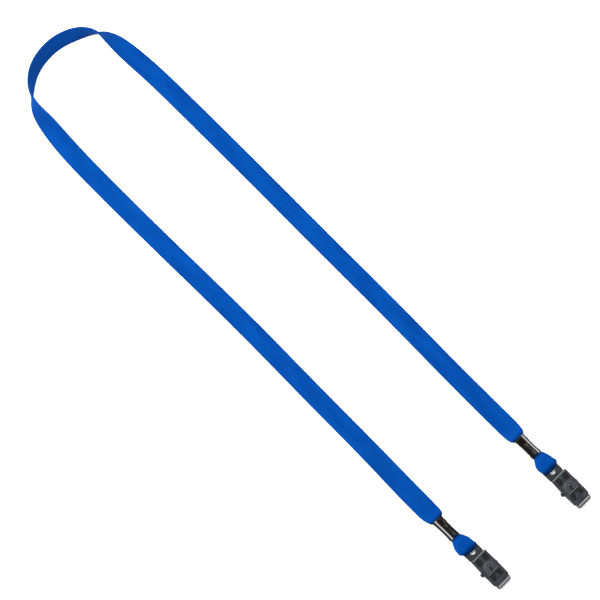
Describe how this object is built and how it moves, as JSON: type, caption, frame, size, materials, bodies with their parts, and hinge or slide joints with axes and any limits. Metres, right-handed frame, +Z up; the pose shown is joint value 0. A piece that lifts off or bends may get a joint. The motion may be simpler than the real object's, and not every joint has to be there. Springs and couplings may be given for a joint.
{
  "type": "lanyard badge holder",
  "caption": "Open-ended flat neck lanyard laid in a hairpin, each end crimped and looped through the slotted tail of a sprung bulldog badge clip.",
  "frame": {"origin": "on the surface it lies on, in the middle of the box round the two clips and their crimps", "axes": "+Z up from the surface, +Y from the clips towards the neck bend, +X across the two legs from left to right"},
  "size_m": [0.0883, 0.4397, 0.0126],
  "materials": {
    "strap_fabric": "flat woven tubular polyester strap, matt with a soft sheen",
    "crimp_black": "gloss black crimped tube",
    "clip_black": "satin black-oxide pressed steel, a little worn at its edges",
    "pin_black": "satin black rivet",
    "spring_steel": "bright spring wire"
  },
  "bodies": {
    "neck": {"strap": "strap_fabric", "left_crimp": "crimp_black", "left_end_loop": "strap_fabric", "right_crimp": "crimp_black", "right_end_loop": "strap_fabric"},
    "left_clip": {"left_clip_base": "clip_black", "left_hinge_pin": "pin_black", "left_clip_spring": "spring_steel"},
    "left_jaw": {"left_clip_lever": "clip_black"},
    "right_clip": {"right_clip_base": "clip_black", "right_hinge_pin": "pin_black", "right_clip_spring": "spring_steel"},
    "right_jaw": {"right_clip_lever": "clip_black"}
  },
  "joints": [
    {"name": "left_clip_swing", "type": "hinge", "parent": "neck", "child": "left_clip", "pos_m": [-0.0344, 0.00332, 0.00176], "axis": [-1, 0, 0], "range_deg": [-80, 80], "deforming": ["left_end_loop"]},
    {"name": "left_jaw_open", "type": "hinge", "parent": "left_clip", "child": "left_jaw", "pos_m": [-0.0344, -0.01503, 0.00369], "axis": [-1, 0, 0], "range_deg": [0, 25], "stiffness_Nm_per_rad": 0.05, "springref_deg": -68.75, "deforming": ["left_clip_spring"]},
    {"name": "right_clip_swing", "type": "hinge", "parent": "neck", "child": "right_clip", "pos_m": [0.0353, 0.00332, 0.00176], "axis": [-1, 0, 0], "range_deg": [-80, 80], "deforming": ["right_end_loop"]},
    {"name": "right_jaw_open", "type": "hinge", "parent": "right_clip", "child": "right_jaw", "pos_m": [0.0353, -0.01503, 0.00369], "axis": [-1, 0, 0], "range_deg": [0, 25], "stiffness_Nm_per_rad": 0.05, "springref_deg": -68.75, "deforming": ["right_clip_spring"]}
  ]
}
